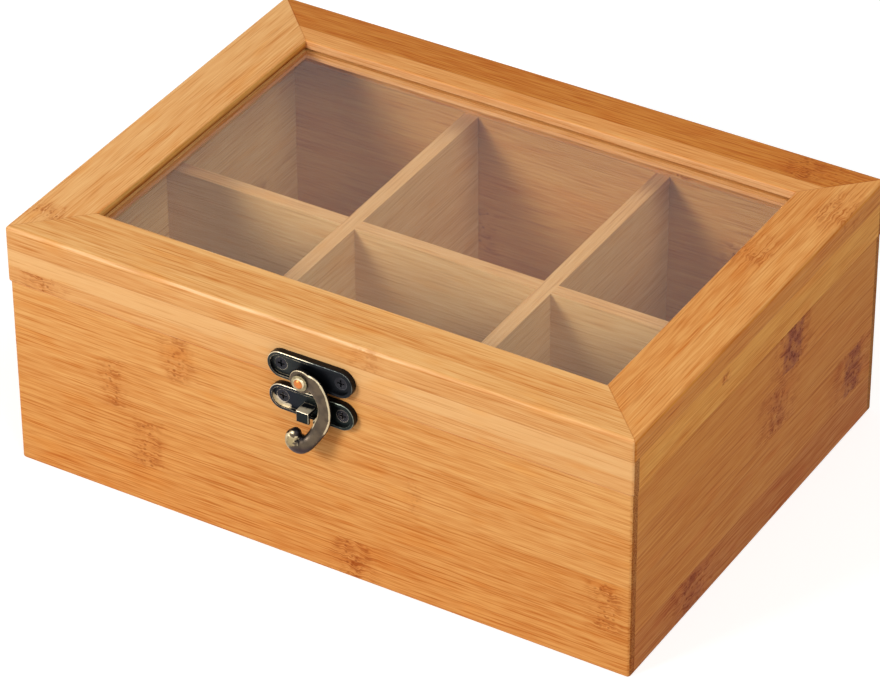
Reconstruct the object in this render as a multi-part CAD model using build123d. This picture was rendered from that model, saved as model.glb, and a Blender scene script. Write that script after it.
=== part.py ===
from build123d import *
import os

# A bamboo tea bag box: six compartments, a hinged lid with a clear window, and a
# bronze swing hook latch. Millimetres. X runs along the front, the front faces -Y,
# Z is up. The origin is the centre of the bottom face, where the box stands.

# ---- driving dimensions of the woodwork ----
LID_LENGTH = 217.0
LID_DEPTH = 158.0
BOX_HEIGHT = 86.0
LID_HEIGHT = 19.6
SEAM_GAP = 0.1
REVEAL = 0.5  # how far the lid stands out past the box at the front and the sides
WALL = 6.0
CORNER_LAP = 3.0  # end grain of the front and rear boards that shows on the sides
FLOOR = 4.0
FLOOR_RABBET = 3.0
DIVIDER = 5.0
DIVIDER_TOP = 66.0
COLUMNS = 3
RAIL_WIDTH = 20.5
RAIL_THICK = 7.5
PANE_THICK = 2.0
PANE_DROP = 2.8  # from the top of the rails down to the pane
PANE_GRIP = 4.0
GROOVE_SLACK = 0.1
UPRIGHT_ROUND = 1.2
TOP_ROUND = 1.2
SEAM_ROUND = 0.6
FOOT_ROUND = 0.8
WINDOW_ROUND = 0.6
CLEAR = 1.0  # how far a cut runs past the face it opens
TOUCH = 0.01  # an edge this near to a face is taken to lie on it

# ---- driving dimensions of the latch ----
LATCH_X = 1.2  # centre of both plates, a little right of the box's middle
PLATE_LENGTH = 29.5
PLATE_WIDTH = 9.2
PLATE_THICK = 2.3
PLATE_RIM = 1.1
PLATE_FIELD = 1.3  # thickness inside the rim
PLATE_EDGE = 0.5
UPPER_PLATE_Z = 71.9
LOWER_PLATE_Z = 60.0
PLATE_SCREW_PITCH = 20.6
PIVOT_X = LATCH_X - 1.9
PIVOT_Z = UPPER_PLATE_Z - 2.1
RIVET_SHANK = 1.5
RIVET_HEAD = 2.6
RIVET_COLLAR = 0.6  # thickness of the rivet's flat rim
RIVET_DOME = 2.1
RIVET_DOME_SINK = 0.9  # from the rim's face back to the dome's centre
BOSS = 2.3  # raised pad of the upper plate, under the hook's eye
RUNNING = 0.05  # radial clearance of a turning fit
HOOK_THICK = 1.8
HOOK_LIFT = 0.2  # gap between the plate's rim and the hook
HOOK_EYE = 4.0
HOOK_EDGE = 0.4
TAB_WIDTH = 4.3
TAB_HEIGHT = 3.9
TAB_X = LATCH_X - 0.75
TAB_TOP = LOWER_PLATE_Z + 0.2
TAB_METAL = 1.0
TAB_REACH = 5.6  # from the lid's front face to the tab's front face
TAB_ROUND = 0.35
FINGER_GAP = 0.35
FINGER_ROUND = 1.0  # half the height of the finger's end
FINGER_BULGE = 0.3
TAIL_RADII = (1.4, 1.5, 1.7, 1.85, 1.9, 1.8)  # from the arm to the curled tip

# ---- driving dimensions of the hinges ----
HINGE_X = 68.0
LEAF_WIDTH = 20.0
LEAF_HEIGHT = 13.0
LEAF_THICK = 0.9
LEAF_CORNER = 1.5
BARREL = 2.0
BARREL_GAP = 0.15  # from the barrel to the wood
PIN = 1.0
PIN_HEAD = 1.5
PIN_HEAD_THICK = 0.4
LID_KNUCKLE = 7.8
KNUCKLE_GAP = 0.2
NOTCH_GAP = 0.3  # from a barrel to the edge of the other leaf
STOP_ROOT = 1.5  # stop lug, from the pin's axis to where it leaves the knuckle
STOP_LENGTH = 4.2  # and to its tip
STOP_THICK = 1.4
STOP_WIDTH = 7.0

# ---- screws ----
SCREW_HEAD = 1.9
SCREW_SHANK = 0.9
HINGE_SCREW_X = 6.4
HINGE_SCREW_Z = 8.4
HINGE_SCREW_LENGTH = 5.0
LATCH_SCREW_HEAD = 2.1
LATCH_SCREW_SHANK = 1.0
LATCH_SCREW_LENGTH = 5.4
RECESS_SPAN = 1.2  # a screw's cross recess, as shares of the head's radius
RECESS_WIDTH = 0.3

# ---- places worked out from them ----
SEAM_TOP = BOX_HEIGHT - LID_HEIGHT
BODY_HEIGHT = SEAM_TOP - SEAM_GAP
BODY_LENGTH = LID_LENGTH - 2 * REVEAL
BODY_DEPTH = LID_DEPTH - REVEAL
REAR_Y = BODY_DEPTH / 2
BODY_FRONT_Y = -BODY_DEPTH / 2
LID_FRONT_Y = BODY_FRONT_Y - REVEAL
INNER_X = BODY_LENGTH / 2 - WALL
INNER_Y = BODY_DEPTH / 2 - WALL
RAIL_BOTTOM = BOX_HEIGHT - RAIL_THICK
PANE_TOP = BOX_HEIGHT - PANE_DROP
WINDOW_X = LID_LENGTH / 2 - RAIL_WIDTH
WINDOW_FRONT = LID_FRONT_Y + RAIL_WIDTH
WINDOW_REAR = REAR_Y - RAIL_WIDTH
HINGE_Y = REAR_Y + BARREL + BARREL_GAP
HINGE_Z = SEAM_TOP - SEAM_GAP / 2
COMPARTMENT = (2 * INNER_X - (COLUMNS - 1) * DIVIDER) / COLUMNS
CROSS_X = (COMPARTMENT + DIVIDER) / 2

os.makedirs("parts", exist_ok=True)


def block(x0, x1, y0, y1, z0, z1):
    """A box given by its lowest and highest corner."""
    size = Box(x1 - x0, y1 - y0, z1 - z0)
    return Pos((x0 + x1) / 2, (y0 + y1) / 2, (z0 + z1) / 2) * size


def rounded_block(x0, x1, y0, y1, z0, z1, upright, top, bottom):
    """A box with its upright, top and bottom edges rounded."""
    solid = block(x0, x1, y0, y1, z0, z1)
    solid = fillet(solid.edges().filter_by(Axis.Z), upright)
    solid = fillet(solid.faces().sort_by(Axis.Z)[-1].edges(), top)
    return fillet(solid.faces().sort_by(Axis.Z)[0].edges(), bottom)


def rod_y(x, y0, y1, z, radius):
    """A round rod along Y."""
    rod = Cylinder(radius, abs(y1 - y0))
    return Pos(x, (y0 + y1) / 2, z) * Rot(90, 0, 0) * rod


def rod_x(x0, x1, y, z, radius):
    """A round rod along X."""
    return Pos((x0 + x1) / 2, y, z) * Rot(0, 90, 0) * Cylinder(radius, x1 - x0)


def ring_boards(shell, x, front, rear, inner_x, inner_front, inner_rear):
    """Four boards of a box's sides. The front and rear boards run the full length
    and are rabbeted, so that a lap of their end grain shows on the sides."""
    low, high = -CLEAR, BOX_HEIGHT + CLEAR
    sides = {
        "left": block(-x, -inner_x, front + CORNER_LAP, rear - CORNER_LAP, low, high),
        "right": block(inner_x, x, front + CORNER_LAP, rear - CORNER_LAP, low, high),
    }
    boards = {name: shell & side for name, side in sides.items()}
    for name, y0, y1 in (("front", front, inner_front), ("rear", inner_rear, rear)):
        strip = block(-x, x, y0, y1, low, high)
        boards[name] = (shell & strip) - sides["left"] - sides["right"]
    return boards


def screw(head, shank, length, head_height):
    """A countersunk cross-head screw. Its head is up, and flush with Z = 0."""
    cone = Pos(0, 0, -head_height / 2) * Cone(shank, head, head_height)
    stem = Pos(0, 0, -length / 2) * Cylinder(shank, length)
    return cone + stem


def cross_recess(head, depth):
    """The cross cut into a screw's head."""
    arm = Box(head * RECESS_SPAN, head * RECESS_WIDTH, depth)
    return Pos(0, 0, -depth / 2) * (arm + Rot(0, 0, 90) * arm)


def facing_front(x, y, z):
    """Turns a screw's head to the front."""
    return Pos(x, y, z) * Rot(90, 0, 0)


def facing_rear(x, y, z):
    """Turns a screw's head to the rear."""
    return Pos(x, y, z) * Rot(-90, 0, 0)


# ---- the box's walls and floor ----
half = BODY_LENGTH / 2
body_shell = rounded_block(
    -half, half, BODY_FRONT_Y, REAR_Y, 0, BODY_HEIGHT, UPRIGHT_ROUND, SEAM_ROUND, FOOT_ROUND
)
walls = ring_boards(body_shell, half, BODY_FRONT_Y, REAR_Y, INNER_X, -INNER_Y, INNER_Y)
floor_x = INNER_X + FLOOR_RABBET
floor_y = INNER_Y + FLOOR_RABBET
bottom_panel = block(-floor_x, floor_x, -floor_y, floor_y, 0, FLOOR)
walls = {name: wall - bottom_panel for name, wall in walls.items()}

# ---- the dividers, halved into each other ----
half_way = (FLOOR + DIVIDER_TOP) / 2
thick = DIVIDER / 2
long_divider = block(-INNER_X, INNER_X, -thick, thick, FLOOR, DIVIDER_TOP)
cross_dividers = {}
for side, x in (("left", -CROSS_X), ("right", CROSS_X)):
    cross = block(x - thick, x + thick, -INNER_Y, INNER_Y, FLOOR, DIVIDER_TOP)
    long_divider -= block(x - thick, x + thick, -thick, thick, half_way, DIVIDER_TOP)
    cross_dividers[side] = cross - block(x - thick, x + thick, -thick, thick, FLOOR, half_way)

# ---- the lid's skirt boards and window rails ----
lid_half = LID_LENGTH / 2
lid_shell = rounded_block(
    -lid_half, lid_half, LID_FRONT_Y, REAR_Y, SEAM_TOP, BOX_HEIGHT, UPRIGHT_ROUND, TOP_ROUND, SEAM_ROUND
)
skirt_shell = lid_shell & block(-lid_half, lid_half, LID_FRONT_Y, REAR_Y, SEAM_TOP, RAIL_BOTTOM)
skirts = ring_boards(skirt_shell, lid_half, LID_FRONT_Y, REAR_Y, INNER_X, -INNER_Y, INNER_Y)

rail_slab = lid_shell & block(-lid_half, lid_half, LID_FRONT_Y, REAR_Y, RAIL_BOTTOM, BOX_HEIGHT)
frame = rail_slab - block(
    -WINDOW_X, WINDOW_X, WINDOW_FRONT, WINDOW_REAR, RAIL_BOTTOM - CLEAR, BOX_HEIGHT + CLEAR
)


def on_window_edge(edge):
    """True for a top edge of the window opening."""
    middle = edge.center()
    across = abs(middle.X) < WINDOW_X + TOUCH
    along = WINDOW_FRONT - TOUCH < middle.Y < WINDOW_REAR + TOUCH
    return across and along and abs(middle.Z - BOX_HEIGHT) < TOUCH


frame = fillet([edge for edge in frame.edges() if on_window_edge(edge)], WINDOW_ROUND)
pane_x = WINDOW_X + PANE_GRIP
pane_front = WINDOW_FRONT - PANE_GRIP
pane_rear = WINDOW_REAR + PANE_GRIP
window_pane = block(-pane_x, pane_x, pane_front, pane_rear, PANE_TOP - PANE_THICK, PANE_TOP)
frame -= block(
    -pane_x - GROOVE_SLACK,
    pane_x + GROOVE_SLACK,
    pane_front - GROOVE_SLACK,
    pane_rear + GROOVE_SLACK,
    PANE_TOP - PANE_THICK,
    PANE_TOP,
)

outer = {
    "front_left": (-lid_half, LID_FRONT_Y),
    "front_right": (lid_half, LID_FRONT_Y),
    "rear_right": (lid_half, REAR_Y),
    "rear_left": (-lid_half, REAR_Y),
}
inner = {
    "front_left": (-WINDOW_X, WINDOW_FRONT),
    "front_right": (WINDOW_X, WINDOW_FRONT),
    "rear_right": (WINDOW_X, WINDOW_REAR),
    "rear_left": (-WINDOW_X, WINDOW_REAR),
}


def mitred_rail(first, second):
    """One rail of the frame, cut from corner to corner at both ends."""
    corners = [outer[first], outer[second], inner[second], inner[first]]
    profile = Plane.XY.offset(RAIL_BOTTOM - CLEAR) * make_face(Polyline(*corners, close=True))
    return frame & extrude(profile, RAIL_THICK + 2 * CLEAR)


rails = {
    "front": mitred_rail("front_left", "front_right"),
    "right": mitred_rail("front_right", "rear_right"),
    "rear": mitred_rail("rear_right", "rear_left"),
    "left": mitred_rail("rear_left", "front_left"),
}


# ---- the latch's two plates ----
def pressed_plate(face_y, z):
    """A round-ended plate with a raised rim. Its back lies on face_y, and its
    front looks to -Y."""
    turned = Pos(LATCH_X, face_y, z) * Rot(90, 0, 0)
    plate = extrude(SlotOverall(PLATE_LENGTH, PLATE_WIDTH), PLATE_THICK)
    plate = fillet(plate.faces().sort_by(Axis.Z)[-1].edges(), PLATE_EDGE)
    hollow = SlotOverall(PLATE_LENGTH - 2 * PLATE_RIM, PLATE_WIDTH - 2 * PLATE_RIM)
    hollow = Pos(0, 0, PLATE_FIELD) * extrude(hollow, PLATE_THICK)
    return turned * (plate - hollow)


def latch_screws(face_y, z):
    """Two screws in a plate's field, at the ends of the plate."""
    level = face_y - PLATE_FIELD
    shape = screw(LATCH_SCREW_HEAD, LATCH_SCREW_SHANK, LATCH_SCREW_LENGTH, PLATE_FIELD)
    places = (LATCH_X - PLATE_SCREW_PITCH / 2, LATCH_X + PLATE_SCREW_PITCH / 2)
    plain = [facing_front(x, level, z) * shape for x in places]
    recess = cross_recess(LATCH_SCREW_HEAD, PLATE_FIELD / 2)
    cut = [solid - facing_front(x, level, z) * recess for x, solid in zip(places, plain)]
    return plain, cut


hook_back = LID_FRONT_Y - PLATE_THICK - HOOK_LIFT
hook_front = hook_back - HOOK_THICK
tab_front = LID_FRONT_Y - TAB_REACH

latch_plate = pressed_plate(LID_FRONT_Y, UPPER_PLATE_Z)
latch_plate += rod_y(PIVOT_X, LID_FRONT_Y, LID_FRONT_Y - PLATE_THICK, PIVOT_Z, BOSS)
latch_plate -= rod_y(PIVOT_X, LID_FRONT_Y, hook_back, PIVOT_Z, RIVET_SHANK)
upper_screws, latch_plate_screws = latch_screws(LID_FRONT_Y, UPPER_PLATE_Z)
for solid in upper_screws:
    latch_plate -= solid
    skirts["front"] -= solid

catch_plate = pressed_plate(BODY_FRONT_Y, LOWER_PLATE_Z)
tab_left = TAB_X - TAB_WIDTH / 2
tab_right = TAB_X + TAB_WIDTH / 2
tab_root = block(
    tab_left, tab_right, tab_front, BODY_FRONT_Y - PLATE_FIELD, TAB_TOP - TAB_METAL, TAB_TOP
)
tab_flange = block(
    tab_left, tab_right, tab_front, tab_front + TAB_METAL, TAB_TOP - TAB_HEIGHT, TAB_TOP
)
tab = tab_root + tab_flange
tab_edges = [edge for edge in tab.edges() if abs(edge.center().Y - tab_front) < TOUCH]
catch_plate += fillet(tab_edges, TAB_ROUND)
lower_screws, catch_plate_screws = latch_screws(BODY_FRONT_Y, LOWER_PLATE_Z)
for solid in lower_screws:
    catch_plate -= solid
    walls["front"] -= solid

# ---- the rivet that the hook turns on ----
head_back = hook_front - RUNNING
collar_front = head_back - RIVET_COLLAR
dome = Pos(PIVOT_X, collar_front + RIVET_DOME_SINK, PIVOT_Z) * Sphere(RIVET_DOME)
dome &= rod_y(PIVOT_X, collar_front, collar_front - RIVET_DOME, PIVOT_Z, RIVET_HEAD)
latch_rivet = rod_y(PIVOT_X, LID_FRONT_Y, head_back, PIVOT_Z, RIVET_SHANK)
latch_rivet += rod_y(PIVOT_X, head_back, collar_front, PIVOT_Z, RIVET_HEAD)
latch_rivet += dome


# ---- the swing hook ----
def at_pivot(x, z):
    """A point of the hook's outline, given from the rivet's axis."""
    return (PIVOT_X + x, PIVOT_Z + z)


# The outline runs from the eye's top down the arm's outer side, along the finger
# to its tip beside the tab, and back up the inner side.
finger_tip = tab_right + FINGER_GAP - PIVOT_X
eye_top = at_pivot(-0.6, HOOK_EYE)
shoulder = at_pivot(8.7, -3.8)
elbow = at_pivot(8.6, -14.4)
heel = at_pivot(5.6, -15.6)
tip_middle = at_pivot(finger_tip, -13.6)
tip_low = at_pivot(finger_tip + FINGER_BULGE, -13.6 - FINGER_ROUND)
tip_high = at_pivot(finger_tip + FINGER_BULGE, -13.6 + FINGER_ROUND)
throat = at_pivot(6.7, -9.0)
inner_arm = at_pivot(4.6, -3.2)
neck = at_pivot(1.4, -3.75)
with BuildSketch(Plane.XZ) as outline:
    with BuildLine():
        ThreePointArc(eye_top, at_pivot(5.6, 1.3), shoulder)
        ThreePointArc(shoulder, at_pivot(9.75, -9.2), elbow)
        Line(elbow, heel)
        Line(heel, tip_low)
        ThreePointArc(tip_low, tip_middle, tip_high)
        ThreePointArc(tip_high, at_pivot(5.6, -11.0), throat)
        ThreePointArc(throat, at_pivot(6.4, -5.6), inner_arm)
        ThreePointArc(inner_arm, at_pivot(2.9, -2.8), neck)
        ThreePointArc(neck, at_pivot(-HOOK_EYE, 0), eye_top)
    make_face()

swing_hook = Pos(0, hook_back, 0) * extrude(outline.sketch, HOOK_THICK)
front_edges = [edge for edge in swing_hook.edges() if abs(edge.center().Y - hook_front) < TOUCH]
swing_hook = fillet(front_edges, HOOK_EDGE)


def tail_point(x, z, reach):
    """A point of the hook's tail: x and z from the rivet's axis, reach in front
    of the lid's front face."""
    return Vector(PIVOT_X + x, LID_FRONT_Y - reach, PIVOT_Z + z)


def limb(points, radii):
    """A rod through the points that thickens from radius to radius."""
    solid = Pos(*points[0]) * Sphere(radii[0])
    for start, end, r0, r1 in zip(points, points[1:], radii, radii[1:]):
        along = Plane(origin=start, z_dir=end - start)
        grow_up = (Align.CENTER, Align.CENTER, Align.MIN)
        solid += along * Cone(r0, r1, (end - start).length, align=grow_up)
        solid += Pos(*end) * Sphere(r1)
    return solid


# The tail leaves the elbow forwards and down, passes in front of the tab's level,
# and curls back up into a thick tip.
tail = [
    tail_point(7.3, -13.2, 4.0),
    tail_point(6.6, -16.8, 5.0),
    tail_point(4.7, -19.8, 7.4),
    tail_point(2.3, -21.0, 7.8),
    tail_point(0.3, -19.6, 7.8),
    tail_point(0.0, -17.6, 7.8),
]
swing_hook += limb(tail, TAIL_RADII)
swing_hook -= rod_y(PIVOT_X, LID_FRONT_Y, hook_front - CLEAR, PIVOT_Z, RIVET_SHANK + RUNNING)


# ---- the two hinges ----
def knuckle(x0, x1, side):
    """One knuckle of a leaf, with the web that joins it to the leaf's plate."""
    edge = HINGE_Z + side * (BARREL + NOTCH_GAP)
    low, high = min(HINGE_Z, edge), max(HINGE_Z, edge)
    web = block(x0, x1, REAR_Y, REAR_Y + LEAF_THICK, low, high)
    return web + rod_x(x0, x1, HINGE_Y, HINGE_Z, BARREL)


def leaf(x, side):
    """A hinge leaf round the pin at x. Side is 1 for the lid's leaf and -1 for
    the box's."""
    near = HINGE_Z + side * (BARREL + NOTCH_GAP)
    far = HINGE_Z + side * LEAF_HEIGHT
    left, right = x - LEAF_WIDTH / 2, x + LEAF_WIDTH / 2
    plate = block(left, right, REAR_Y, REAR_Y + LEAF_THICK, min(near, far), max(near, far))
    upright = plate.edges().filter_by(Axis.Y)
    solid = fillet([edge for edge in upright if abs(edge.center().Z - far) < TOUCH], LEAF_CORNER)
    middle = LID_KNUCKLE / 2
    if side > 0:
        solid += knuckle(x - middle, x + middle, side)
        solid += block(
            x - STOP_WIDTH / 2,
            x + STOP_WIDTH / 2,
            HINGE_Y + STOP_ROOT,
            HINGE_Y + STOP_LENGTH,
            HINGE_Z - STOP_THICK / 2,
            HINGE_Z + STOP_THICK / 2,
        )
        bore = PIN + RUNNING
    else:
        solid += knuckle(left, x - middle - KNUCKLE_GAP, side)
        solid += knuckle(x + middle + KNUCKLE_GAP, right, side)
        bore = PIN
    return solid - rod_x(left - CLEAR, right + CLEAR, HINGE_Y, HINGE_Z, bore)


def hinge_pin(x):
    """A pin with a flat head at each end, outside the knuckles."""
    reach = LEAF_WIDTH / 2
    pin = rod_x(x - reach, x + reach, HINGE_Y, HINGE_Z, PIN)
    for side in (-1, 1):
        ends = sorted((x + side * reach, x + side * (reach + PIN_HEAD_THICK)))
        pin += rod_x(*ends, HINGE_Y, HINGE_Z, PIN_HEAD)
    return pin


hinge_screw = screw(SCREW_HEAD, SCREW_SHANK, HINGE_SCREW_LENGTH, LEAF_THICK)
hinge_recess = cross_recess(SCREW_HEAD, LEAF_THICK / 2)
leaves = {}
hinge_screws = {"base": [], "lid": []}
for end, x in (("left", -HINGE_X), ("right", HINGE_X)):
    for holder, side in (("base", -1), ("lid", 1)):
        solid = leaf(x, side)
        for screw_x in (x - HINGE_SCREW_X, x + HINGE_SCREW_X):
            place = facing_rear(screw_x, REAR_Y + LEAF_THICK, HINGE_Z + side * HINGE_SCREW_Z)
            driven = place * hinge_screw
            solid -= driven
            if holder == "base":
                walls["rear"] -= driven
            else:
                skirts["rear"] -= driven
            hinge_screws[holder].append(driven - place * hinge_recess)
        leaves[holder, end] = solid


# ---- one file for each piece ----
def save(name, *solids):
    """Writes one node; a group of like pieces is one node of several solids."""
    shape = solids[0] if len(solids) == 1 else Compound(children=list(solids))
    export_step(shape, f"parts/{name}.step")


for name, wall in walls.items():
    save(f"{name}_wall", wall)
for name, skirt in skirts.items():
    save(f"lid_skirt_{name}", skirt)
for name, rail in rails.items():
    save(f"lid_rail_{name}", rail)
for side, divider in cross_dividers.items():
    save(f"cross_divider_{side}", divider)
for (holder, end), solid in leaves.items():
    save(f"{holder}_hinge_leaf_{end}", solid)
for end, x in (("left", -HINGE_X), ("right", HINGE_X)):
    save(f"hinge_pin_{end}", hinge_pin(x))
save("bottom_panel", bottom_panel)
save("long_divider", long_divider)
save("window_pane", window_pane)
save("latch_plate", latch_plate)
save("latch_plate_screws", *latch_plate_screws)
save("latch_rivet", latch_rivet)
save("catch_plate", catch_plate)
save("catch_plate_screws", *catch_plate_screws)
save("swing_hook", swing_hook)
save("base_hinge_screws", *hinge_screws["base"])
save("lid_hinge_screws", *hinge_screws["lid"])
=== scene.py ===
# %% [markdown]
# # A bamboo tea box with a swing hook latch
# The real object is a box of flat bamboo boards. Its lid is a mitred frame round a clear acrylic
# window, with an upright skirt under the frame, and a small antique bronze swing hook holds it shut.
# The solids come from a CAD model and stay as they are. This lesson gives them their finishes, adds the
# pieces whose shape a CAD solid only sketches, and lights them as in a white tent.

# %% Load the CAD model
import math

import bpy
import numpy as np
from mathutils import Matrix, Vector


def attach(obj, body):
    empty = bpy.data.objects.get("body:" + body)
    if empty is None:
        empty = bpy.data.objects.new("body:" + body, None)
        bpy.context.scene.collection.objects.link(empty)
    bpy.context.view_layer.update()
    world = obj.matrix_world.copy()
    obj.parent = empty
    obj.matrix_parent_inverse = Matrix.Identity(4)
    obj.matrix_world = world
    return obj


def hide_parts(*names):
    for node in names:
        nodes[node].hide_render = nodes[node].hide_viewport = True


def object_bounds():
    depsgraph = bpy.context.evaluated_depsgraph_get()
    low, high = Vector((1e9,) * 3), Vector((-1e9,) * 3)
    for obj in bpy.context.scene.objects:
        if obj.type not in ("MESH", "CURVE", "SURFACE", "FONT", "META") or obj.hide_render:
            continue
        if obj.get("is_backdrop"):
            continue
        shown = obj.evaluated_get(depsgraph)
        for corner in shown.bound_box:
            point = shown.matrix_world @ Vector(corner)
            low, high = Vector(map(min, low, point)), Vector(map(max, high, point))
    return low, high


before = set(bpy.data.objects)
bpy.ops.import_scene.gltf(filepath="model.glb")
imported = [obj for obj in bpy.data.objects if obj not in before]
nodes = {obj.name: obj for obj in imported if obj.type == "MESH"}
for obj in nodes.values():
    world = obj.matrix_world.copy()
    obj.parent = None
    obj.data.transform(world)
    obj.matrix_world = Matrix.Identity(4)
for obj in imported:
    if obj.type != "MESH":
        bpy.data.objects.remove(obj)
cad_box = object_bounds()
print("CAD nodes", len(nodes), "box", [round(v, 4) for corner in cad_box for v in corner])

# %% [markdown]
# ## The camera
# The picture was taken with a long lens from above the right end of the front, so the sides hardly
# converge. A camera is easiest to place by three directions: where it looks, what is to its right and
# what is above it. The place and the focal length were worked out from the corners of the lid and of
# the box, whose sizes are known, and they are written here as plain numbers.

# %% Place the camera
CAMERA_PLACE = (0.60363, -1.00514, 0.85063)
TURN = math.radians(-31.1225)
DIP = math.radians(34.8258)
ROLL = math.radians(-0.3768)
FOCAL_MM = 188.79
SENSOR_MM = 36.0

ahead = np.array([math.sin(TURN) * math.cos(DIP), math.cos(TURN) * math.cos(DIP), -math.sin(DIP)])
level_right = np.cross(ahead, (0.0, 0.0, 1.0))
level_right /= np.linalg.norm(level_right)
level_up = np.cross(level_right, ahead)
right = math.cos(ROLL) * level_right + math.sin(ROLL) * level_up
up = -math.sin(ROLL) * level_right + math.cos(ROLL) * level_up

camera_data = bpy.data.cameras.new("photo_camera")
camera_data.lens = FOCAL_MM
camera_data.sensor_fit = "HORIZONTAL"
camera_data.sensor_width = SENSOR_MM
camera_data.clip_start = 0.01
camera = bpy.data.objects.new("photo_camera", camera_data)
pose = np.eye(4)
pose[:3, 0], pose[:3, 1], pose[:3, 2], pose[:3, 3] = right, up, -ahead, CAMERA_PLACE
camera.matrix_world = Matrix(pose.tolist())
bpy.context.scene.collection.objects.link(camera)
bpy.context.scene.camera = camera
print("camera looks", ahead.round(3))

# %% [markdown]
# ## Small helpers for node trees
# A shader is a graph. Three helpers keep it readable: one makes a node and sets its options and plain
# inputs, one makes a material with its output, and one makes a node group with named sockets. A group
# holds an effect that many materials share, and is built once.

# %% Helpers for node trees
def add(tree, kind, inputs=None, **options):
    """Makes a node. Options are its own settings, and inputs are plain values or sockets to link."""
    node = tree.nodes.new(kind)
    for key, value in options.items():
        setattr(node, key, value)
    for key, value in (inputs or {}).items():
        socket = node.inputs[key]
        if isinstance(value, bpy.types.NodeSocket):
            tree.links.new(value, socket)
        else:
            socket.default_value = value
    return node


def calc(tree, operation, *values):
    """A Math node as one call. It returns its output socket."""
    inputs = dict(enumerate(values))
    return add(tree, "ShaderNodeMath", inputs, operation=operation).outputs[0]


def vector_calc(tree, operation, first, second):
    """A Vector Math node with two inputs. It returns the vector that it puts out."""
    return add(tree, "ShaderNodeVectorMath", {0: first, 1: second}, operation=operation).outputs[0]


def ease(tree, value, start, end, low=0.0, high=1.0):
    """A smooth step: low before start, high after end."""
    inputs = {"Value": value, "From Min": start, "From Max": end, "To Min": low, "To Max": high}
    return add(tree, "ShaderNodeMapRange", inputs, interpolation_type="SMOOTHSTEP").outputs[0]


def blend_colours(tree, amount, first, second, way="MIX"):
    """A Mix node for colours. It returns the mixed colour."""
    node = add(tree, "ShaderNodeMix", data_type="RGBA", blend_type=way)
    for index, value in ((0, amount), (6, first), (7, second)):
        if isinstance(value, bpy.types.NodeSocket):
            tree.links.new(value, node.inputs[index])
        else:
            node.inputs[index].default_value = value
    return node.outputs[2]


def grain_noise(tree, place, stretch, detail=2.0, roughness=0.5):
    """Noise whose three frequencies differ, so that it makes streaks. It returns the value."""
    scaled = vector_calc(tree, "MULTIPLY", place, stretch)
    inputs = {"Vector": scaled, "Scale": 1.0, "Detail": detail, "Roughness": roughness}
    return add(tree, "ShaderNodeTexNoise", inputs).outputs["Fac"]


SOCKETS = {"float": "NodeSocketFloat", "vector": "NodeSocketVector", "colour": "NodeSocketColor"}


def new_group(name, inputs, outputs):
    """A shader node group with named sockets. It returns the group and its two end nodes."""
    group = bpy.data.node_groups.new(name, "ShaderNodeTree")
    for side, sockets in (("INPUT", inputs), ("OUTPUT", outputs)):
        for label, kind in sockets.items():
            group.interface.new_socket(name=label, in_out=side, socket_type=SOCKETS[kind])
    return group, group.nodes.new("NodeGroupInput"), group.nodes.new("NodeGroupOutput")


def use_group(tree, group, inputs):
    """Places a group in a material, with its own values."""
    node = tree.nodes.new("ShaderNodeGroup")
    node.node_tree = group
    for key, value in inputs.items():
        if isinstance(value, bpy.types.NodeSocket):
            tree.links.new(value, node.inputs[key])
        else:
            node.inputs[key].default_value = value
    return node.outputs


def new_material(name):
    """An empty material with one Principled shader on its output."""
    material = bpy.data.materials.new(name)
    material.use_nodes = True
    tree = material.node_tree
    tree.nodes.clear()
    output = tree.nodes.new("ShaderNodeOutputMaterial")
    shader = tree.nodes.new("ShaderNodeBsdfPrincipled")
    tree.links.new(shader.outputs[0], output.inputs[0])
    return material, tree, shader


def colour(red, green, blue):
    """A colour given as it looks on a screen, 0 to 255, turned into the linear values that nodes use."""
    values = np.array([red, green, blue]) / 255.0
    linear = np.where(values <= 0.04045, values / 12.92, ((values + 0.055) / 1.055) ** 2.4)
    return (*[float(v) for v in linear], 1.0)


print("helpers ready; bamboo in linear values", [round(v, 3) for v in colour(226, 160, 96)[:3]])

# %% [markdown]
# ## The white tent
# The box stands on white paper in a bright tent. One large soft lamp at the front left gives the latch
# its shadow. A wider, weaker one high on the right reaches down into the compartments, and the paper and
# the tent fill in the rest. The
# background is pure white only where the camera looks at it, or sees it in metal or in the window, so
# no extra light falls on the box for its sake.

# %% Floor, world and lamps
FLOOR_SIDE = 8.0
FLOOR_BASE = colour(205, 203, 200)
FLOOR_LIFT = 0.62
TENT_LIGHT = 0.34
KEY_TOWARDS = (-0.40, -0.76, 0.52)
KEY_DISTANCE = 1.5
KEY_SIDE = 0.5
KEY_WATTS = 13.2
FILL_TOWARDS = (0.55, -0.25, 0.80)
FILL_DISTANCE = 1.5
FILL_SIDE = 0.9
FILL_WATTS = 9.2


def seen_directly(tree):
    """1 for a ray from the camera, or one that is seen in a reflection or through the window."""
    path = tree.nodes.new("ShaderNodeLightPath")
    mirrored = calc(tree, "MAXIMUM", path.outputs["Is Glossy Ray"], path.outputs["Is Transmission Ray"])
    return calc(tree, "MAXIMUM", path.outputs["Is Camera Ray"], mirrored)


paper, tree, shader = new_material("white_paper")
speckle = add(tree, "ShaderNodeTexNoise", {"Scale": 900.0, "Detail": 2.0})
shader.inputs["Base Color"].default_value = FLOOR_BASE
tree.links.new(ease(tree, speckle.outputs["Fac"], 0.3, 0.7, 0.82, 0.9), shader.inputs["Roughness"])
shader.inputs["Specular IOR Level"].default_value = 0.1
shader.inputs["Emission Color"].default_value = (1.0, 1.0, 1.0, 1.0)
lift = calc(tree, "MULTIPLY", seen_directly(tree), FLOOR_LIFT)
tree.links.new(lift, shader.inputs["Emission Strength"])

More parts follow.
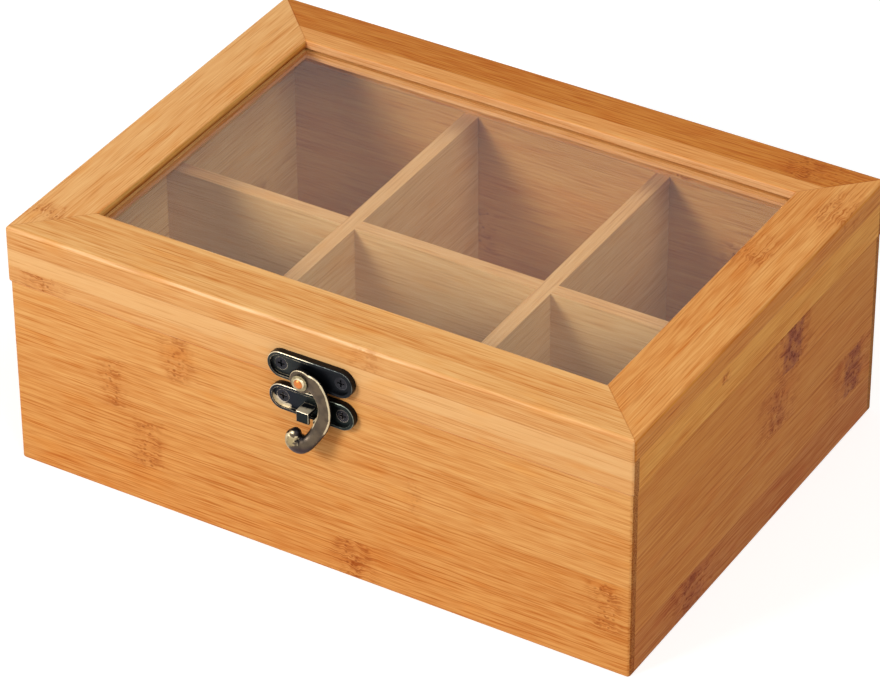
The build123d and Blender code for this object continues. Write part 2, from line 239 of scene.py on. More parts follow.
half = FLOOR_SIDE / 2
corners = [(-half, -half, 0), (half, -half, 0), (half, half, 0), (-half, half, 0)]
floor_mesh = bpy.data.meshes.new("paper_floor")
floor_mesh.from_pydata(corners, [], [(0, 1, 2, 3)])
floor_mesh.materials.append(paper)
floor = bpy.data.objects.new("paper_floor", floor_mesh)
bpy.context.scene.collection.objects.link(floor)
floor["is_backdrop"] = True

world = bpy.data.worlds.new("white_tent")
world.use_nodes = True
tree = world.node_tree
sky = tree.nodes["Background"]
strength = add(tree, "ShaderNodeMapRange", {"Value": seen_directly(tree), "To Min": TENT_LIGHT, "To Max": 1.0})
tree.links.new(strength.outputs[0], sky.inputs["Strength"])
sky.inputs["Color"].default_value = (1.0, 1.0, 1.0, 1.0)
bpy.context.scene.world = world


def soft_lamp(name, towards, distance, side, watts):
    """A square lamp at a distance along a direction, turned to face the box."""
    away = np.array(towards) / np.linalg.norm(towards)
    aside = np.cross((0.0, 1.0, 0.0) if abs(away[2]) > 0.9 else (0.0, 0.0, 1.0), away)
    aside /= np.linalg.norm(aside)
    data = bpy.data.lights.new(name, "AREA")
    data.size, data.energy = side, watts
    lamp = bpy.data.objects.new(name, data)
    turned = np.eye(4)
    turned[:3, 0], turned[:3, 1], turned[:3, 2] = aside, np.cross(away, aside), away
    turned[:3, 3] = away * distance
    lamp.matrix_world = Matrix(turned.tolist())
    bpy.context.scene.collection.objects.link(lamp)
    return lamp


soft_lamp("key_lamp", KEY_TOWARDS, KEY_DISTANCE, KEY_SIDE, KEY_WATTS)
soft_lamp("fill_lamp", FILL_TOWARDS, FILL_DISTANCE, FILL_SIDE, FILL_WATTS)
bpy.context.scene.view_settings.view_transform = "Standard"

# %% [markdown]
# ## Bamboo
# The boards are flat-pressed bamboo: strips 14 to 18 mm wide are glued side by side with the grain
# running along the board. Each strip has its own tone, fine fibres run along it, and now and then a
# strip shows a node, a darker mottled band as tall as the strip. Where a board is cut across, its end
# shows dark dots, the cut ends of the fibres. A picture of wood would look pasted on; a solid pattern
# worked out in the board's own millimetres runs through the board, and fits every face of it.
#
# The first group makes the mask of one node band, and the second turns all masks into a colour, a
# roughness and a height.

# %% The group for one node band
knot_group, start, end = new_group(
    "bamboo_knot",
    {"Board": "vector", "Centre": "vector", "Half Size": "vector", "Strength": "float"},
    {"Band": "float", "Core": "float"},
)
from_centre = vector_calc(knot_group, "SUBTRACT", start.outputs["Board"], start.outputs["Centre"])
in_halves = vector_calc(knot_group, "DIVIDE", from_centre, start.outputs["Half Size"])
parts = add(knot_group, "ShaderNodeSeparateXYZ", {0: in_halves})
along = calc(knot_group, "ABSOLUTE", parts.outputs[0])
across = ease(knot_group, calc(knot_group, "ABSOLUTE", parts.outputs[1]), 0.78, 1.08, 1.0, 0.0)
across = calc(knot_group, "MULTIPLY", across, start.outputs["Strength"])
band = calc(knot_group, "MULTIPLY", ease(knot_group, along, 0.2, 2.1, 1.0, 0.0), across)
core = calc(knot_group, "MULTIPLY", ease(knot_group, along, 0.20, 1.05, 1.0, 0.0), across)
knot_group.links.new(band, end.inputs["Band"])
knot_group.links.new(core, end.inputs["Core"])
print("knot group sockets", [s.name for s in knot_group.interface.items_tree])

# %% The group for bamboo
bamboo_group, start, end = new_group(
    "bamboo",
    {
        "Board": "vector", "Seed": "float", "Strip Tone": "float", "Glue Line": "float", "Gap Shade": "float", "Rounded": "float", "Knot Band": "float",
        "Knot Core": "float", "End Grain": "float", "Streaks": "float", "Pale": "colour", "Deep": "colour",
    },
    {"Color": "colour", "Roughness": "float", "Height": "float"},
)
given = start.outputs
tree = bamboo_group
# every board and every strip reads its own part of the pattern
apart = add(tree, "ShaderNodeCombineXYZ", {
    "X": calc(tree, "ADD", calc(tree, "MULTIPLY", given["Seed"], 371.0), calc(tree, "MULTIPLY", given["Strip Tone"], 913.0)),
    "Y": calc(tree, "MULTIPLY", given["Seed"], 57.0),
    "Z": calc(tree, "MULTIPLY", given["Seed"], 23.0),
})
place = vector_calc(tree, "ADD", given["Board"], apart.outputs[0])
# the fibres bend a little, and more where they run round a node
bend = calc(tree, "SUBTRACT", grain_noise(tree, place, (0.02, 0.06, 0.06), 0.0), 0.5)
mottle = grain_noise(tree, place, (0.28, 0.25, 0.25), 2.0)
kink = calc(tree, "MULTIPLY", calc(tree, "SUBTRACT", mottle, 0.5), calc(tree, "MULTIPLY", given["Knot Band"], 4.0))
straight = place
sideways = add(tree, "ShaderNodeCombineXYZ", {"Y": calc(tree, "MULTIPLY_ADD", bend, 1.1, kink)})
place = vector_calc(tree, "ADD", place, sideways.outputs[0])

# streaks of several widths and lengths, down to single fibres: (frequency along, across, share)
STREAKS = ((0.010, 0.10, 0.50), (0.022, 0.36, 0.42), (0.034, 1.1, 0.66), (0.085, 1.0, 0.42), (0.055, 2.5, 1.45), (0.15, 2.1, 0.95))
shades = [grain_noise(tree, place, (along, across, across), 0.0) for along, across, share in STREAKS]
streak = 0.0
for (along, across, share), shade in zip(STREAKS, shades):
    streak = calc(tree, "MULTIPLY_ADD", calc(tree, "SUBTRACT", shade, 0.5), share, streak)
fine, hair = shades[5], shades[4]
dashes = ease(tree, hair, 0.62, 0.76)
# a node's dots: cells, each with a dark or a pale point at its middle
mesh = vector_calc(tree, "MULTIPLY", straight, (0.58, 0.74, 0.74))
cells = add(tree, "ShaderNodeTexVoronoi", {"Vector": mesh, "Scale": 1.0, "Randomness": 1.0})
lottery = add(tree, "ShaderNodeSeparateXYZ", {0: cells.outputs["Color"]}).outputs[0]
point = ease(tree, cells.outputs["Distance"], 0.20, 0.44, 1.0, 0.0)
is_dark = ease(tree, lottery, 0.60, 0.64, 1.0, 0.0)

base = blend_colours(tree, given["Strip Tone"], given["Pale"], given["Deep"])
# deep strips show their fibres more than pale ones
contrast = calc(tree, "MULTIPLY", given["Streaks"], calc(tree, "MULTIPLY_ADD", given["Strip Tone"], 0.95, 0.35))
streak = add(tree, "ShaderNodeClamp", {0: calc(tree, "MULTIPLY_ADD", streak, contrast, 0.40)}).outputs[0]
wood = blend_colours(tree, streak, base, (0.78, 0.54, 0.32, 1.0), "MULTIPLY")
wood = blend_colours(tree, calc(tree, "MULTIPLY", dashes, 0.30), wood, (0.66, 0.50, 0.34, 1.0), "MULTIPLY")
# here and there a strip is a little more orange
blush = calc(tree, "MULTIPLY", ease(tree, grain_noise(tree, place, (0.05, 0.17, 0.17), 1.0), 0.56, 0.74), 0.7)
wood = blend_colours(tree, blush, wood, (0.99, 0.88, 0.70, 1.0), "MULTIPLY")
glue = calc(tree, "MULTIPLY", given["Glue Line"], 0.42)
wood = blend_colours(tree, glue, wood, (0.66, 0.50, 0.34, 1.0), "MULTIPLY")
# painted shade: a dark line in the groove over the pane, on the rails' inner edges
wood = blend_colours(tree, given["Gap Shade"], wood, (0.44, 0.22, 0.10, 1.0), "MULTIPLY")
# rounded edges are made a little darker
wood = blend_colours(tree, given["Rounded"], wood, (0.97, 0.94, 0.95, 1.0), "MULTIPLY")
# a node's ground is a little darker, and that of a strong one a dark reddish brown
ground = calc(tree, "MULTIPLY", given["Knot Band"], ease(tree, mottle, 0.35, 0.60, 0.35, 0.85))
wood = blend_colours(tree, ground, wood, (0.82, 0.62, 0.42, 1.0), "MULTIPLY")
stain = calc(tree, "MULTIPLY", ease(tree, given["Knot Band"], 0.74, 1.0), ease(tree, mottle, 0.35, 0.55, 0.55, 1.0))
wood = blend_colours(tree, stain, wood, (0.56, 0.40, 0.40, 1.0), "MULTIPLY")
dots = calc(tree, "MULTIPLY", calc(tree, "MULTIPLY", point, is_dark), given["Knot Core"])
crumbs = calc(tree, "MULTIPLY", ease(tree, calc(tree, "ADD", fine, mottle), 1.04, 1.22), calc(tree, "MULTIPLY", given["Knot Band"], 0.6))
dark = calc(tree, "MAXIMUM", dots, crumbs)
wood = blend_colours(tree, dark, wood, (0.54, 0.34, 0.22, 1.0), "MULTIPLY")
bright = calc(tree, "MULTIPLY", calc(tree, "SUBTRACT", 1.0, is_dark), calc(tree, "MULTIPLY", point, given["Knot Core"]))
wood = blend_colours(tree, calc(tree, "MULTIPLY", bright, 0.5), wood, (1.2, 1.4, 1.9, 1.0), "MULTIPLY")
# the cut ends of the fibres
cut_end = blend_colours(tree, ease(tree, fine, 0.40, 0.65), (0.58, 0.45, 0.30, 1.0), (0.40, 0.27, 0.15, 1.0))
cut_end = blend_colours(tree, 1.0, wood, cut_end, "MULTIPLY")
wood = blend_colours(tree, given["End Grain"], wood, cut_end)
tree.links.new(wood, end.inputs["Color"])

rough = calc(tree, "MULTIPLY_ADD", streak, 0.12, 0.46)
rough = calc(tree, "MULTIPLY_ADD", given["End Grain"], 0.18, calc(tree, "MULTIPLY_ADD", dark, 0.15, rough))
tree.links.new(rough, end.inputs["Roughness"])
height = calc(tree, "MULTIPLY_ADD", fine, -0.9, calc(tree, "MULTIPLY", shades[2], -0.7))
height = calc(tree, "SUBTRACT", height, calc(tree, "MULTIPLY_ADD", dashes, 0.35, given["Glue Line"]))
height = calc(tree, "SUBTRACT", height, calc(tree, "MULTIPLY", dark, 0.8))
tree.links.new(height, end.inputs["Height"])
print("bamboo group nodes", len(tree.nodes))

# %% [markdown]
# ## One board, one finish
# A board's pattern needs three directions: along the grain, across the strips and through the board.
# The object's coordinates are in metres along x, y and z, so a few nodes turn them into millimetres and
# put them in the board's order. The strips are steps of a colour ramp across the board, set so
# that a pale strip lies where the real box has one, and the node bands are placed the same way.

# %% A function that makes a board's finish
def board_directions(tree, order):
    """The board's own millimetres: order is such as XZY, for grain along x and strips up z."""
    coordinates = tree.nodes.new("ShaderNodeTexCoord")
    millimetres = add(tree, "ShaderNodeVectorMath", {0: coordinates.outputs["Object"], "Scale": 1000.0}, operation="SCALE")
    axes = add(tree, "ShaderNodeSeparateXYZ", {0: millimetres.outputs[0]})
    picked = {"XYZ"[i]: axes.outputs["XYZ".index(letter)] for i, letter in enumerate(order)}
    board = add(tree, "ShaderNodeCombineXYZ", picked).outputs[0]
    facing = add(tree, "ShaderNodeSeparateXYZ", {0: coordinates.outputs["Normal"]})
    ends, edges, face = (calc(tree, "ABSOLUTE", facing.outputs["XYZ".index(letter)]) for letter in order)
    rounded = ease(tree, calc(tree, "MAXIMUM", ends, calc(tree, "MAXIMUM", edges, face)), 0.98, 0.88)
    # an inner face looks back to the middle of the box: its normal has the other sign than its place
    outwards = calc(tree, "MULTIPLY", calc(tree, "SIGN", picked["Z"]), facing.outputs["XYZ".index(order[2])])
    inner = ease(tree, outwards, -0.5, -0.9)
    return board, axes, picked["Y"], ease(tree, ends, 0.72, 0.9), ease(tree, edges, 0.72, 0.9), rounded, inner


def strip_ramp(tree, across, edges, tones):
    """A stepped tone across the strips, and a thin line at each edge between two of them."""
    low, high = edges[0], edges[-1]
    share = add(tree, "ShaderNodeMapRange", {"Value": across, "From Min": low, "From Max": high}).outputs[0]
    ramp = add(tree, "ShaderNodeValToRGB", {"Fac": share})
    ramp.color_ramp.interpolation = "CONSTANT"
    stops = ramp.color_ramp.elements
    while len(stops) < len(tones):
        stops.new(1.0)
    for stop, edge, tone in zip(stops, edges, tones):
        stop.position = (edge - low) / (high - low)
        stop.color = (tone, tone, tone, 1.0)
    line = None
    for edge in edges[1:-1]:
        gap = calc(tree, "ABSOLUTE", calc(tree, "SUBTRACT", across, edge))
        mask = ease(tree, gap, 0.05, 0.28, 0.35, 0.0)
        line = mask if line is None else calc(tree, "MAXIMUM", line, mask)
    return ramp.outputs["Color"], line


def plain_line(tree, place, at, half=0.12):
    """A thin line where one of the object's coordinates has a value, such as a joint at a height."""
    gap = calc(tree, "ABSOLUTE", calc(tree, "SUBTRACT", place, at))
    return ease(tree, gap, half * 0.4, half * 2.2, 1.0, 0.0)


def strongest(tree, masks):
    """The largest of several masks, or 0 where there is none."""
    top = 0.0
    for mask in masks:
        top = mask if isinstance(top, float) else calc(tree, "MAXIMUM", top, mask)
    return top


def bamboo_board(name, order, edges, tones, seed, knots=(), pale=(240, 188, 120), deep=(218, 146, 70), streaks=0.9, seams=(), mitred=False, edge=None, shade_below=None, arris_highlight_colour=None, brightened=None, inside=None, gap=0.0):
    """A board's finish: strips between edges (mm), their tones 0 pale to 1 deep, and its node bands.

    A knot is (along, across, half length, half height, strength) in the board's millimetres, a seam is
    the height of a joint with the next board, and edge is the colour of the board's sawn long edges. The
    colour after edge is a painted shade: that of these edges below the pane. The colour after that is a
    painted highlight on its rounded corners, strongest between the four places along the board that
    follow it. inside is the pale and the deep colour of its inner face, and gap is half the height of a
    painted shade line over the pane, on a rail's inner edge."""
    material, tree, shader = new_material(name)
    board, axes, across, cut, sawn, rounded, inner = board_directions(tree, order)
    tone, line = strip_ramp(tree, across, edges, tones)
    pale, deep = colour(*pale), colour(*deep)
    if inside:
        pale = blend_colours(tree, inner, pale, colour(*inside[0]))
        deep = blend_colours(tree, inner, deep, colour(*inside[1]))
    if edge:
        edge = colour(*edge)
        # painted shade: below the pane the sawn edges take a darker colour
        if shade_below:
            low = ease(tree, axes.outputs[2], GAP_HEIGHT, GAP_HEIGHT - 0.8)
            edge = blend_colours(tree, low, edge, colour(*shade_below))
        pale = blend_colours(tree, sawn, pale, edge)
        deep = blend_colours(tree, sawn, deep, edge)
    # painted highlight on the rounded corners, strongest over a span along the board
    if arris_highlight_colour:
        start, full, fading, end = brightened
        along = axes.outputs["XYZ".index(order[0])]
        arris_highlight = calc(tree, "MULTIPLY", ease(tree, along, start, full), ease(tree, along, end, fading, 0.15, 1.0))
        arris_highlight = calc(tree, "MULTIPLY", rounded, arris_highlight)
        pale = blend_colours(tree, arris_highlight, pale, colour(*arris_highlight_colour))
        deep = blend_colours(tree, arris_highlight, deep, colour(*arris_highlight_colour))
    # painted shade: a dark line at the pane's height, only near a rail's inner edge
    gap_shade = 0.0
    if gap:
        middle = abs(edges[0] + edges[-1]) / 2
        inner = ease(tree, calc(tree, "ABSOLUTE", across), middle, middle - 2.0)
        gap_shade = calc(tree, "MULTIPLY", inner, plain_line(tree, axes.outputs[2], GAP_HEIGHT, gap))
    lines = [line] if line else []
    lines += [plain_line(tree, axes.outputs[2], height) for height in seams]
    if mitred:
        lines.append(mitre_line(tree, axes))
    bands, cores = [], []
    if knots:
        drift = add(tree, "ShaderNodeTexNoise", {"Vector": board, "Scale": 0.3, "Detail": 2.0}).outputs["Color"]
        drift = vector_calc(tree, "SUBTRACT", drift, (0.5, 0.5, 0.5))
        drifted = vector_calc(tree, "ADD", board, vector_calc(tree, "MULTIPLY", drift, (9.0, 3.0, 0.0)))
    for u, v, half_u, half_v, amount in knots:
        inputs = {"Board": drifted, "Centre": (u, v, 0.0), "Half Size": (half_u, half_v, 1.0), "Strength": amount}
        masks = use_group(tree, knot_group, inputs)
        bands.append(masks["Band"])
        cores.append(masks["Core"])
    inputs = {
        "Board": board, "Seed": seed, "Strip Tone": tone, "Glue Line": strongest(tree, lines),
        "Knot Band": strongest(tree, bands), "Knot Core": strongest(tree, cores),
        "Gap Shade": gap_shade, "Rounded": rounded, "End Grain": cut, "Streaks": streaks, "Pale": pale, "Deep": deep,
    }
    wood = use_group(tree, bamboo_group, inputs)
    tree.links.new(wood["Color"], shader.inputs["Base Color"])
    tree.links.new(wood["Roughness"], shader.inputs["Roughness"])
    bump = add(tree, "ShaderNodeBump", {"Height": wood["Height"], "Strength": 0.5, "Distance": 0.00006})
    tree.links.new(bump.outputs[0], shader.inputs["Normal"])
    shader.inputs["Specular IOR Level"].default_value = 0.12
    return material


LID_HALF_X = 108.5
LID_HALF_Y = 79.0
GAP_HEIGHT = 82.9


def mitre_line(tree, axes):
    """A thin, slightly toothed line where two rails meet: both are as far from their outer edges."""
    from_side = calc(tree, "SUBTRACT", LID_HALF_X, calc(tree, "ABSOLUTE", axes.outputs[0]))
    from_front = calc(tree, "SUBTRACT", LID_HALF_Y, calc(tree, "ABSOLUTE", axes.outputs[1]))
    apart = calc(tree, "ABSOLUTE", calc(tree, "SUBTRACT", from_side, from_front))
    return ease(tree, apart, 0.10, 0.45, 1.0, 0.0)


print("board finish ready")

# %% [markdown]
# ## The box's boards
# The front wall is cut from a board of four strips, and the photograph shows six node bands on it. The
# other boards get the same care: their strips and nodes are placed where they can be seen, and chosen
# freely where they can't.

# %% Finishes for the box
def dress(name, material):
    """Puts a material on a CAD node in place of what it came with."""
    mesh = nodes[name].data
    mesh.materials.clear()
    mesh.materials.append(material)


SIDE_PALE = (210, 139, 45)
SIDE_DEEP = (188, 114, 37)
STRIPS_UP = (-0.5, 14.0, 32.3, 50.2, 66.5)
# the walls' inner faces are paler and greyer than their outer faces
INNER_WALL_COLOURS = ((230, 192, 130), (212, 160, 94))

dress("front_wall", bamboo_board(
    "bamboo_front", "XZY", STRIPS_UP, (0.80, 0.76, 0.58, 0.46), 1.0,
    knots=((-47.5, 58.0, 4.2, 8.6, 0.72), (-71.5, 41.5, 3.6, 9.2, 0.64), (-60.0, 23.0, 4.2, 9.4, 0.68), (14.0, 7.0, 5.5, 7.4, 0.78), (100.0, 23.0, 4.6, 9.2, 0.74), (34.5, 38.0, 1.8, 9.0, 0.2)),
    inside=INNER_WALL_COLOURS,
))
dress("rear_wall", bamboo_board(
    "bamboo_rear", "XZY", STRIPS_UP, (0.60, 0.42, 0.70, 0.52), 2.0,
    knots=((-30.0, 23.0, 4.5, 9.2, 0.7), (62.0, 41.0, 4.8, 9.0, 0.8), (88.0, 7.0, 5.0, 7.4, 0.6)),
    pale=(226, 182, 116), deep=(208, 146, 74), streaks=0.65,
))
dress("right_wall", bamboo_board(
    "bamboo_right", "YZX", STRIPS_UP, (0.95, 0.52, 0.42, 0.28), 3.0,
    knots=((20.5, 58.5, 9.0, 8.8, 1.0), (12.0, 41.5, 9.5, 9.4, 0.82), (63.0, 24.0, 9.5, 9.6, 0.92), (-40.0, 7.0, 11.0, 7.6, 0.84)),
    pale=SIDE_PALE, deep=SIDE_DEEP, edge=(226, 170, 102), inside=INNER_WALL_COLOURS,
))
dress("left_wall", bamboo_board(
    "bamboo_left", "YZX", STRIPS_UP, (0.55, 0.70, 0.40, 0.60), 4.0,
    knots=((-22.0, 41.0, 5.0, 9.2, 0.8), (48.0, 23.0, 5.0, 9.2, 0.6)),
    pale=(236, 188, 122), deep=(214, 152, 84), streaks=0.7, inside=((238, 206, 148), (221, 180, 118)),
))
dress("bottom_panel", bamboo_board(
    "bamboo_bottom", "XYZ", (-80.0, -54.0, -31.0, -8.0, 15.0, 38.0, 60.0, 80.0), (0.5, 0.35, 0.6, 0.42, 0.7, 0.38, 0.55), 5.0,
    knots=((-60.0, -42.0, 6.0, 11.0, 0.7), (35.0, 3.5, 6.0, 11.0, 0.8), (82.0, 49.0, 6.0, 11.0, 0.6)),
    pale=(216, 180, 130), deep=(192, 150, 98), streaks=0.6,
))
dress("long_divider", bamboo_board(
    "bamboo_long_divider", "XZY", (3.0, 24.0, 45.0, 66.5), (0.5, 0.35, 0.42), 6.0, pale=(238, 205, 150), deep=(223, 181, 121), streaks=0.6, edge=(229, 184, 130)))
for number, side in enumerate(("left", "right")):
    dress("cross_divider_" + side, bamboo_board(
        "bamboo_cross_divider_" + side, "YZX", (3.0, 24.0, 45.0, 66.5), (0.42, 0.5, 0.36 + 0.1 * number), 7.0 + number, pale=(238, 205, 150), deep=(223, 181, 121), streaks=0.6, edge=(229, 184, 130)))
print("box boards dressed")

# %% [markdown]
# ## The lid's boards
# The window frame's rails lie flat with mitred corners, and the skirt boards stand under them. The
# front skirt has a pale upper strip over a darker one, and the rear rail a dark outer strip beside a
# pale inner one, with a reddish patch and a node near its right end.

# %% Finishes for the lid
dress("lid_rail_front", bamboo_board(
    "bamboo_rail_front", "XYZ", (-80.0, -71.5, -66.0, -61.6, -57.5), (0.17, 0.46, 0.38, 0.0), 11.0,
    knots=((19.0, -79.2, 5.5, 2.5, 0.3),), streaks=1.15, seams=(78.5,), mitred=True, edge=(228, 171, 107), arris_highlight_colour=(248, 208, 154), brightened=(-150.0, -40.0, 5.0, 60.0)))
dress("lid_rail_rear", bamboo_board(
    "bamboo_rail_rear", "XYZ", (57.5, 65.0, 80.0), (0.28, 1.0), 12.0,
    knots=((84.5, 71.5, 6.5, 6.5, 0.7), (96.0, 72.5, 8.0, 6.0, 0.35)), pale=(242, 180, 110), deep=(204, 129, 50), streaks=0.9, seams=(78.5,), mitred=True, edge=(246, 190, 132), gap=0.22))
dress("lid_rail_left", bamboo_board(
    "bamboo_rail_left", "YXZ", (-109.0, -99.0, -87.5), (0.0, 0.15), 13.0,
    knots=((-65.5, -102.5, 3.4, 6.0, 0.72),), pale=(242, 188, 122), streaks=1.4, seams=(78.5,), mitred=True, edge=(243, 190, 106), shade_below=(214, 156, 104), gap=0.85))
dress("lid_rail_right", bamboo_board(
    "bamboo_rail_right", "YXZ", (87.5, 98.5, 109.0), (0.5, 0.3), 14.0,
    knots=((55.0, 103.5, 8.0, 5.0, 0.6), (22.5, 93.0, 6.5, 5.5, 0.5)), pale=(236, 178, 106), deep=(214, 134, 56), streaks=1.2, seams=(78.5, 82.4), mitred=True, edge=(210, 137, 48)))
dress("lid_skirt_front", bamboo_board(
    "bamboo_skirt_front", "XZY", (66.0, 71.9, 79.0), (0.40, 0.0), 15.0,
    knots=((-96.0, 69.4, 6.5, 3.0, 0.74),), pale=(240, 191, 130), streaks=0.6, seams=(78.5,)))
dress("lid_skirt_rear", bamboo_board("bamboo_skirt_rear", "XZY", (66.0, 73.0, 79.0), (0.45, 0.3), 16.0, knots=((40.0, 69.5, 5.0, 3.6, 0.7),), seams=(78.5,)))
dress("lid_skirt_left", bamboo_board(
    "bamboo_skirt_left", "YZX", (66.0, 73.0, 79.0), (0.4, 0.55), 17.0, pale=(234, 190, 126), deep=(214, 156, 90), edge=(228, 174, 108)))
dress("lid_skirt_right", bamboo_board(
    "bamboo_skirt_right", "YZX", (66.0, 73.0, 79.0), (0.6, 0.3), 18.0,
    knots=((-24.5, 74.5, 1.6, 2.2, 0.8),), pale=(230, 165, 71), deep=(216, 147, 54), edge=(226, 170, 102)))
print("lid boards dressed")

# %% [markdown]
# ## The window
# The window is a clear acrylic sheet that slides in grooves of the rails. It mirrors the white tent
# faintly, which greys what lies under it. Light from the lamps has to reach the compartments, and a
# path tracer would stop it at a refracting sheet, so for shadow rays the sheet is plainly transparent.

# %% Finish of the window
acrylic, tree, shader = new_material("clear_acrylic_sheet")
shader.inputs["Base Color"].default_value = (0.985, 0.98, 0.92, 1.0)
shader.inputs["Transmission Weight"].default_value = 1.0
shader.inputs["IOR"].default_value = 1.28
smears = add(tree, "ShaderNodeTexNoise", {
    "Vector": tree.nodes.new("ShaderNodeTexCoord").outputs["Object"], "Scale": 35.0, "Detail": 4.0})
tree.links.new(ease(tree, smears.outputs["Fac"], 0.35, 0.75, 0.0, 0.02), shader.inputs["Roughness"])
wave = add(tree, "ShaderNodeBump", {"Height": smears.outputs["Fac"], "Strength": 0.02, "Distance": 0.0001})
tree.links.new(wave.outputs[0], shader.inputs["Normal"])
path = tree.nodes.new("ShaderNodeLightPath")
lets_through = calc(tree, "MAXIMUM", path.outputs["Is Shadow Ray"], path.outputs["Is Diffuse Ray"])
clear = add(tree, "ShaderNodeBsdfTransparent", {"Color": (0.995, 0.995, 0.985, 1.0)})
either = add(tree, "ShaderNodeMixShader", {0: lets_through, 1: shader.outputs[0], 2: clear.outputs[0]})
tree.links.new(either.outputs[0], tree.nodes["Material Output"].inputs[0])
dress("window_pane", acrylic)
print("window dressed")

# %% [markdown]
# ## The shape of the swing hook
# The hook is one casting: a flat eye round the rivet, an arm that swings out and down, a blunt finger
# that closes on the tab of the lower plate, and a tail that swells and curls up into a thumb lever.
# Each of these is a profile carried along a path: an oval whose width and depth change from station to
# station. Boxes with bevels would show their corners, so the parts are worked out as smooth surfaces,
# and then merged into one skin the way molten metal fills one mould.

# %% Curves and swept bars
def smooth_path(points, count):
    """A curve through points. Each span is a cubic, and the slope at a point is half the step between
    its two neighbours."""
    points = np.asarray(points, float)
    padded = np.vstack([2 * points[0] - points[1], points, 2 * points[-1] - points[-2]])
    where = np.linspace(0, len(points) - 1, count)
    index = np.minimum(where.astype(int), len(points) - 2)
    share = (where - index)[:, None]
    before, start, end, after = (padded[index + step] for step in range(4))
    bend = (2 * before - 5 * start + 4 * end - after) * share**2
    twist = (3 * start - before - 3 * end + after) * share**3
    return 0.5 * (2 * start + (end - before) * share + bend + twist)


def unit(vectors):
    """Each vector divided by its length."""
    return vectors / np.linalg.norm(vectors, axis=-1, keepdims=True)


def squared_circle(angle, squareness):
    """Cosine and sine with their size raised to 2 / squareness: 2 is a circle, and more is squarer."""
    cosine, sine = np.cos(angle), np.sin(angle)
    power = 2.0 / squareness
    return np.sign(cosine) * np.abs(cosine) ** power, np.sign(sine) * np.abs(sine) ** power


def swept_bar(stations, squareness=2.3, rows=60, around=32, cap_rows=7):
    """A closed bar: point = path(t) + side * width(t) / 2 * c(a) + out * depth(t) / 2 * s(a).

    A station is (x, y, z, width, depth). At both ends the oval shrinks as a quarter circle does."""
    path = smooth_path(stations, rows)
    along = unit(np.gradient(path[:, :3], axis=0))
    cap = np.linspace(0.0, np.radians(84.0), cap_rows + 1)[1:]
    first, last = path[0, 3:].min() / 2, path[-1, 3:].min() / 2
    centres = np.vstack([
        path[0, :3] - along[0] * first * np.sin(cap[::-1])[:, None], path[:, :3],
        path[-1, :3] + along[-1] * last * np.sin(cap)[:, None]])
    shrink = np.concatenate([np.cos(cap[::-1]), np.ones(rows), np.cos(cap)])
    pick = np.concatenate([np.zeros(cap_rows, int), np.arange(rows), np.full(cap_rows, rows - 1)])
    side = unit(np.cross(along[pick], (0.0, 1.0, 0.0)))
    out = np.cross(side, along[pick])
    cosine, sine = squared_circle(np.linspace(0, 2 * np.pi, around, endpoint=False), squareness)
    half_width = (path[pick, 3] / 2 * shrink)[:, None, None]
    half_depth = (path[pick, 4] / 2 * shrink)[:, None, None]
    return centres[:, None] + side[:, None] * half_width * cosine[:, None] + out[:, None] * half_depth * sine[:, None]


def ring_faces(rows, around, first=0, closed_rows=False):
    """Quads between neighbouring rings, and a face over each open end."""
    row = np.arange(rows if closed_rows else rows - 1)[:, None]
    step = np.arange(around)[None, :]
    corner = lambda r, s: first + (r % rows) * around + s % around
    quads = np.stack([corner(row, step), corner(row + 1, step), corner(row + 1, step + 1), corner(row, step + 1)], -1)
    faces = quads.reshape(-1, 4).tolist()
    if not closed_rows:
        faces += [list(range(first, first + around)), list(range(first + rows * around - 1, first + (rows - 1) * around - 1, -1))]
    return faces


def mesh_from_grids(name, grids):
    """One mesh from several grids of points in millimetres. A grid is (points, whether its rows close)."""
    points, faces = [], []
    for grid, closed in grids:
        faces += ring_faces(grid.shape[0], grid.shape[1], sum(len(p) for p in points), closed)
        points.append(grid.reshape(-1, 3) / 1000.0)
    mesh = bpy.data.meshes.new(name)
    mesh.from_pydata(np.vstack(points).tolist(), [], faces)
    mesh.validate()
    return mesh


print("swept bars ready")

# %% The hook's parts, in millimetres from the rivet's axis
PIVOT = np.array([-0.7, 0.0, 69.8])
LID_FACE = -79.25
ARM = (
    (1.4, 3.4, 0.6, 5.6, 1.9), (4.1, 3.45, -0.2, 5.8, 2.1), (6.4, 3.5, -2.8, 5.0, 2.2), (7.7, 3.5, -6.6, 4.4, 2.2),
    (7.6, 3.5, -10.6, 4.6, 2.25), (6.4, 3.7, -14.2, 4.8, 2.5), (5.0, 4.2, -16.9, 4.5, 3.0), (3.7, 4.9, -19.0, 4.5, 3.7),
    (2.4, 5.6, -20.3, 5.1, 4.5), (0.7, 6.0, -20.9, 6.0, 5.3), (-0.9, 6.2, -20.0, 6.2, 5.6), (-1.4, 6.3, -18.5, 5.0, 5.0),
    (-0.9, 6.3, -17.4, 3.7, 4.0),
)
FINGER = ((7.8, 3.4, -12.6, 5.4, 1.8), (6.0, 3.4, -12.9, 4.4, 1.8), (4.9, 3.4, -13.3, 3.0, 1.8), (4.55, 3.4, -13.4, 2.6, 1.8))
EYE_MIDDLE = 2.75
EYE_WIDTH = 2.5
EYE_DEPTH = 1.75
HOOK_VOXEL = 0.00016


def from_pivot(stations):
    """Stations given as x from the rivet, how far in front of the lid, and z from the rivet."""
    table = np.array(stations, float)
    table[:, 0] += PIVOT[0]
    table[:, 1] = LID_FACE - table[:, 1]
    table[:, 2] += PIVOT[2]
    return table


